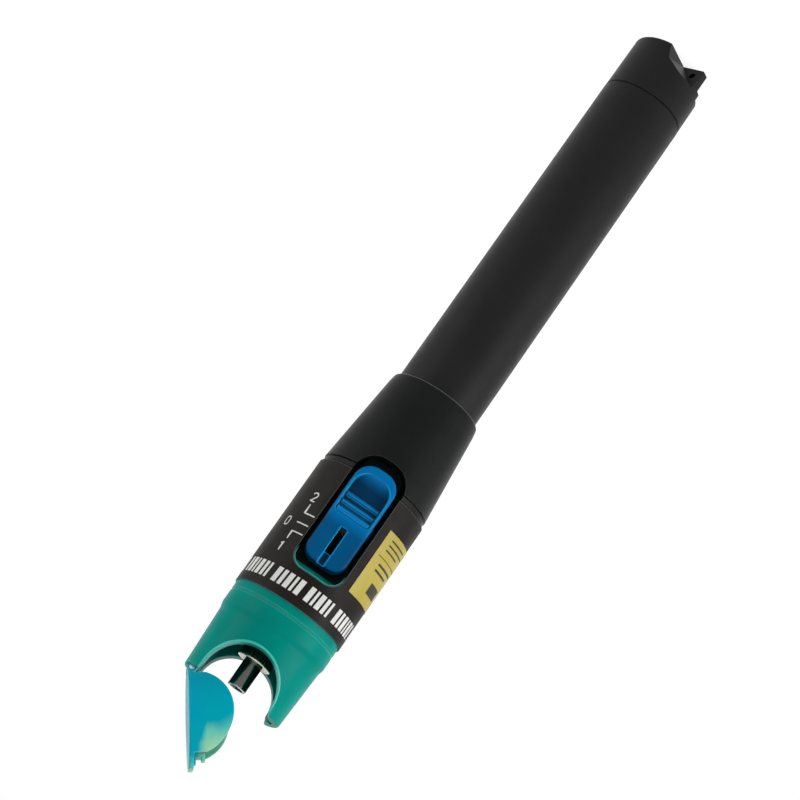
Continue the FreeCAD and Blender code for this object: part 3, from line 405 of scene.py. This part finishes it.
node_materials = {
    "tail_cap": "black_lacquer",
    "battery_tube": "black_lacquer",
    "rear_collar": "black_moulding",
    "front_housing": "teal",
    "label_wrap": "label_film",
    "side_sticker": "yellow",
    "switch_knob": "blue",
    "dust_lid": "lid",
    "hinge_pin": "steel",
    "adapter_barrel": "nickel",
    "knurled_ring": "nickel",
    "split_sleeve": "ceramic",
    "rear_cell": "cell",
    "front_cell": "cell",
    "tail_spring": "steel",
    "tail_spring_plate": "steel",
    "front_contact_spring": "steel",
    "contact_disc": "board",
    "circuit_board": "board",
    "ground_strip": "brass",
    "slide_switch_case": "steel",
    "slide_switch_lever": "black_plastic",
    "board_screws": "steel",
    "driver_chip": "black_plastic",
    "smoothing_capacitor": "cell",
    "laser_diode": "brass",
    "laser_holder": "brass",
    "focusing_lens": "glass",
    "lens_ring": "brass",
}

for node_name, material_name in node_materials.items():
    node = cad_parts[node_name]
    node.data.materials.clear()
    node.data.materials.append(materials[material_name])


# ---------------------------------------------------------------- print on the label
# Arcs run from the switch side towards +X. Arcs, heights, widths and radii of the print are in millimetres.
LABEL_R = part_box("label_wrap")[1][0] / MM
STICKER_R = LABEL_R + 0.1
INK = 0.02
STEP = 0.4
SHARPEST_BEND = 0.5


def new_piece(name, mesh, material):
    """Turns a finished bmesh into a piece that rides on the pen's body."""
    data = bpy.data.meshes.new(name)
    mesh.to_mesh(data)
    mesh.free()
    piece = bpy.data.objects.new(name, data)
    bpy.context.scene.collection.objects.link(piece)
    data.materials.append(materials[material])
    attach(piece, "pen")


def inked(mesh, point, radius):
    """Vertex at an (arc, height) point, just above a film of a radius."""
    arc, z = point
    angle, reach = arc / radius, radius + INK
    return mesh.verts.new(Vector((math.sin(angle) * reach * MM, -math.cos(angle) * reach * MM, z * MM)))


def part_way(start, end, share):
    return (start[0] + (end[0] - start[0]) * share, start[1] + (end[1] - start[1]) * share)


def ribbon(mesh, points, width, radius):
    """Flat stroke of constant width along (arc, height) points, wrapped on the label."""
    dense = []
    for start, end in zip(points, points[1:]):
        steps = max(1, int(abs(end[0] - start[0]) / STEP))
        dense += [part_way(start, end, step / steps) for step in range(steps)]
    dense.append(points[-1])
    rows = []
    for index, point in enumerate(dense):
        before = dense[max(index - 1, 0)]
        after = dense[min(index + 1, len(dense) - 1)]
        along = Vector((after[0] - before[0], after[1] - before[1])).normalized()
        first = Vector((point[0] - before[0], point[1] - before[1]))
        bend = 1.0
        if 0 < index < len(dense) - 1 and first.length > 0:
            bend = max(SHARPEST_BEND, abs(first.normalized().dot(along)))
        across = Vector((-along.y, along.x)) * width / 2 / bend
        rows.append([inked(mesh, (point[0] + across.x, point[1] + across.y), radius),
                     inked(mesh, (point[0] - across.x, point[1] - across.y), radius)])
    for low, high in zip(rows, rows[1:]):
        mesh.faces.new((low[0], low[1], high[1], high[0]))


def patch(mesh, corners, radius):
    """Four-sided field between (arc, height) corners, divided so that it follows the label."""
    rear_start, rear_end, front_end, front_start = corners
    longest = max(abs(rear_end[0] - rear_start[0]), abs(front_end[0] - front_start[0]))
    steps = max(2, int(longest / STEP))
    rows = []
    for step in range(steps + 1):
        share = step / steps
        rows.append([inked(mesh, part_way(rear_start, rear_end, share), radius),
                     inked(mesh, part_way(front_start, front_end, share), radius)])
    for first, second in zip(rows, rows[1:]):
        mesh.faces.new((first[0], second[0], second[1], first[1]))


def printed(name, draw, material):
    """One printed piece, drawn by a function into a new mesh."""
    mesh = bmesh.new()
    draw(mesh)
    bmesh.ops.recalc_face_normals(mesh, faces=mesh.faces)
    for face in mesh.faces:
        centre = face.calc_center_median()
        if face.normal.dot(Vector((centre.x, centre.y, 0))) < 0:
            face.normal_flip()
    new_piece(name, mesh, material)


DIGIT_HEIGHT = 1.6
DIGITS = {
    "0": [(0.5, 0.0), (0.15, 0.12), (0.0, 0.5), (0.0, 1.1), (0.15, 1.48), (0.5, 1.6), (0.85, 1.48),
          (1.0, 1.1), (1.0, 0.5), (0.85, 0.12), (0.5, 0.0)],
    "1": [(0.15, 1.25), (0.55, 1.6), (0.55, 0.0)],
    "2": [(0.0, 1.2), (0.12, 1.48), (0.5, 1.6), (0.88, 1.48), (1.0, 1.15), (0.85, 0.8), (0.0, 0.0),
          (1.05, 0.0)],
}


def digit(mesh, figure, arc, z, height):
    """A plain figure whose top points to the tail and which reads from +X to -X."""
    scale = height / DIGIT_HEIGHT
    ribbon(mesh, [(arc - x * scale, z - y * scale) for x, y in DIGITS[figure]], height * 0.14, LABEL_R)


def switch_marks(mesh):
    """Bracket and line marks beside the knob, and a plain figure for each position."""
    line, figure_height = 0.28, 2.1
    for points in ([(6.9, 137.0), (9.8, 137.0), (9.8, 134.8)],
                   [(6.9, 139.4), (10.2, 139.4)],
                   [(6.8, 141.6), (9.8, 141.6), (9.8, 143.6)]):
        ribbon(mesh, points, line, LABEL_R)
    for figure, arc, z in (("2", 10.7, 134.0), ("0", 13.8, 140.8), ("1", 10.7, 146.6)):
        digit(mesh, figure, arc, z, figure_height)


def band_bars(mesh):
    """Band of slanting bars right round the label's front, in uneven groups."""
    around = 2 * math.pi * LABEL_R
    rear_z, front_z, slant = 149.6, 153.1, 0.25
    gap, group_gap, bars_in_group, bare_end = 0.5, 1.1, 6, 2.0
    widths = [1.15, 0.6, 1.15, 0.85, 1.15, 0.6, 0.85]
    place = 0.0
    index = 0
    while place < around - bare_end:
        if index % bars_in_group == bars_in_group - 1:
            place += group_gap
        width = widths[index % len(widths)]
        patch(mesh, [(place, rear_z), (place + width, rear_z),
                     (place + width + slant, front_z), (place + slant, front_z)], LABEL_R)
        place += width + gap
        index += 1


def sticker_marks(mesh):
    """Dark block, thin line and short bars on the yellow sticker."""
    for width, z, start, end in ((0.18, 135.4, -9.6, -20.0), (2.6, 142.0, -12.9, -18.0),
                                 (0.35, 131.2, -10.6, -17.5), (0.35, 132.4, -10.6, -18.8),
                                 (0.35, 133.6, -10.6, -16.2), (0.5, 136.9, -11.2, -18.4),
                                 (0.5, 138.3, -11.2, -17.0)):
        ribbon(mesh, [(start, z), (end, z)], width, STICKER_R)


printed("switch_marks", switch_marks, "white_ink")
printed("band_bars", band_bars, "white_ink")
printed("sticker_marks", sticker_marks, "dark_ink")


# ---------------------------------------------------------------- bead along the saddle's rim
def nose_radius(z):
    """Outer radius of the tapering nose at a height, in millimetres."""
    return 12.5 - 0.63 * (z - 162.3) / 13.7


def saddle_bead(name, side):
    """Rounded bead along the outer rim of the nose's saddle, on the -Y (-1) or +Y (1) side."""
    centre_z, saddle_r, tip_z = 174.3, 8.25, 175.3
    bead_r, into_rim, into_wall = 0.3, 0.22, 0.1
    horn_lean, steps, thin_end = 0.6 / 1.7, 48, 0.3
    line = []
    for step in range(steps + 1):
        angle = math.pi * (step / steps - 0.5)
        reach = saddle_r + into_rim
        line.append((reach * math.sin(angle), centre_z - reach * math.cos(angle)))
    lean = horn_lean * (tip_z - centre_z)
    line = [(line[0][0] - lean, tip_z)] + line + [(line[-1][0] + lean, tip_z)]
    data = bpy.data.curves.new(name, "CURVE")
    data.dimensions = "3D"
    data.bevel_depth = bead_r * MM
    data.bevel_resolution = 3
    data.use_fill_caps = True
    spline = data.splines.new("POLY")
    spline.points.add(len(line) - 1)
    for point, (x, z) in zip(spline.points, line):
        wall_r = nose_radius(z) - into_wall
        point.co = (x * MM, side * math.sqrt(wall_r ** 2 - x ** 2) * MM, z * MM, 1)
    spline.points[0].radius = spline.points[-1].radius = thin_end
    data.materials.append(materials["bead"])
    bead = bpy.data.objects.new(name, data)
    bpy.context.scene.collection.objects.link(bead)
    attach(bead, "pen")


saddle_bead("saddle_bead_near", -1)
saddle_bead("saddle_bead_far", 1)


# ---------------------------------------------------------------- turned edges of the adapter
def turned_edge(name, radius, front_z, section):
    """Bare bright bead round a turned part's front edge; section is the bead's own radius."""
    major = radius - section / 2
    around, about = 96, 10
    mesh = bmesh.new()
    rings = []
    for step in range(around):
        turn = 2 * math.pi * step / around
        ring = []
        for part in range(about):
            bend = 2 * math.pi * part / about
            reach = major + section * math.cos(bend)
            ring.append(mesh.verts.new((reach * math.cos(turn), reach * math.sin(turn),
                                        front_z - section / 2 + section * math.sin(bend))))
        rings.append(ring)
    for index, ring in enumerate(rings):
        following = rings[(index + 1) % around]
        for part in range(about):
            after = (part + 1) % about
            mesh.faces.new((ring[part], following[part], following[after], ring[after]))
    bmesh.ops.recalc_face_normals(mesh, faces=mesh.faces)
    for face in mesh.faces:
        face.smooth = True
    new_piece(name, mesh, "bare_edge")


BEHIND_FRONT = 0.04 * MM
ADAPTER_R = 2.15 * MM
nut_low, nut_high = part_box("knurled_ring")
nut_r = (nut_high[0] - nut_low[0]) / 2 - 0.1 * MM
turned_edge("ring_nut_edge", nut_r, nut_high[2] - BEHIND_FRONT, 0.26 * MM)
turned_edge("adapter_edge", ADAPTER_R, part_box("adapter_barrel")[1][2] - BEHIND_FRONT, 0.16 * MM)


# ---------------------------------------------------------------- floor, light and camera
def seen_directly(tree):
    """1 for rays from the camera, from gloss and through glass, 0 for the light that fills the shadows."""
    path = tree.nodes.new("ShaderNodeLightPath")
    share = path.outputs["Is Camera Ray"]
    for kind in ("Is Glossy Ray", "Is Transmission Ray"):
        either = tree.nodes.new("ShaderNodeMath")
        either.operation = "MAXIMUM"
        tree.links.new(share, either.inputs[0])
        tree.links.new(path.outputs[kind], either.inputs[1])
        share = either.outputs[0]
    return share


def choose(tree, factor, first, second):
    """First shader where the factor is 0, second where it is 1."""
    mix = tree.nodes.new("ShaderNodeMixShader")
    for socket, source in enumerate((factor, first, second)):
        tree.links.new(source, mix.inputs[socket])
    return mix.outputs[0]


def make_floor():
    """Pale floor that looks white but keeps the object's shadow."""
    data = bpy.data.meshes.new("floor")
    half = 6.0
    corners = [(-half, -half, 0), (half, -half, 0), (half, half, 0), (-half, half, 0)]
    data.from_pydata(corners, [], [(0, 1, 2, 3)])
    floor = bpy.data.objects.new("floor", data)
    bpy.context.scene.collection.objects.link(floor)
    material = bpy.data.materials.new("pale_floor")
    material.use_nodes = True
    tree = material.node_tree
    tree.nodes.clear()
    output = tree.nodes.new("ShaderNodeOutputMaterial")
    plain = tree.nodes.new("ShaderNodeBsdfDiffuse")
    plain.inputs["Color"].default_value = (0.8, 0.8, 0.8, 1)
    seen = tree.nodes.new("ShaderNodeBsdfDiffuse")
    seen.inputs["Color"].default_value = (0.4, 0.4, 0.4, 1)
    glow = tree.nodes.new("ShaderNodeEmission")
    glow.inputs["Strength"].default_value = 0.88
    both = tree.nodes.new("ShaderNodeAddShader")
    tree.links.new(seen.outputs[0], both.inputs[0])
    tree.links.new(glow.outputs[0], both.inputs[1])
    tree.links.new(choose(tree, seen_directly(tree), plain.outputs[0], both.outputs[0]),
                   output.inputs["Surface"])
    data.materials.append(material)


def make_world():
    """White to the camera, gloss and glass; a plain soft grey fill for the rest."""
    world = bpy.data.worlds.new("studio")
    bpy.context.scene.world = world
    world.use_nodes = True
    tree = world.node_tree
    tree.nodes.clear()
    output = tree.nodes.new("ShaderNodeOutputWorld")
    fill = tree.nodes.new("ShaderNodeBackground")
    fill.inputs["Color"].default_value = (1, 1, 1, 1)
    fill.inputs["Strength"].default_value = 0.3
    white = tree.nodes.new("ShaderNodeBackground")
    white.inputs["Color"].default_value = (1, 1, 1, 1)
    white.inputs["Strength"].default_value = 1.0
    tree.links.new(choose(tree, seen_directly(tree), fill.outputs[0], white.outputs[0]),
                   output.inputs["Surface"])


def area_light(name, place, target, size, power):
    data = bpy.data.lights.new(name, "AREA")
    data.shape = "DISK"
    data.size = size
    data.energy = power
    light = bpy.data.objects.new(name, data)
    light.location = place
    light.rotation_euler = (Vector(target) - Vector(place)).to_track_quat("-Z", "Y").to_euler()
    bpy.context.scene.collection.objects.link(light)


def make_camera():
    place = (-0.01962, -0.51062, 0.24881)
    right = Vector((-0.824549, -0.116433, -0.553681))
    up = Vector((0.563618, -0.254699, -0.785788))
    back = Vector((-0.049530, -0.959986, 0.275636))
    data = bpy.data.cameras.new("camera")
    data.lens = 110.25
    data.sensor_width = 36.0
    data.clip_start = 0.01
    data.clip_end = 20.0
    camera = bpy.data.objects.new("camera", data)
    camera.matrix_world = Matrix.Translation(place) @ Matrix((right, up, back)).transposed().to_4x4()
    bpy.context.scene.collection.objects.link(camera)
    bpy.context.scene.camera = camera


make_floor()
make_world()
middle, head = (0.0, 0.0, 0.1), (0.0, 0.0, 0.16)  # what the lights point at
area_light("key", (-0.6, -0.3, 0.05), middle, 0.5, 5.8)
area_light("side", (0.62, -0.24, 0.1), middle, 0.5, 2.6)
area_light("top", (0.1, -0.4, 0.62), head, 0.3, 0.6)
make_camera()
bpy.context.scene.view_settings.view_transform = "Standard"
